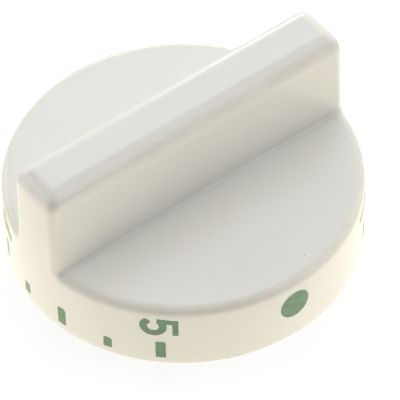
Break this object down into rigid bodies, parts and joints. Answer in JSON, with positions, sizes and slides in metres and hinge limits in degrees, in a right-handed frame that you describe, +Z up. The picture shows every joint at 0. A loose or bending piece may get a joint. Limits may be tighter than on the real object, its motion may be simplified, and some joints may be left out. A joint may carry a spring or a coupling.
{
  "type": "refrigerator temperature control knob",
  "caption": "Round white push-on dial knob with a full-width bar grip, a hollow underside and a D-shaped spindle socket.",
  "frame": {"origin": "centre of the rim plane that the knob stands on, on the spindle's axis", "axes": "+Z up along the spindle's axis out of the appliance, X along the grip, -Y towards the printed dot on the skirt"},
  "size_m": [0.045, 0.045, 0.0222],
  "materials": {
    "white_plastic": "semi-gloss injection moulded, warm white",
    "green_print": "pad-printed grey-green ink"
  },
  "bodies": {
    "root": {"knob": "white_plastic"}
  },
  "joints": []
}
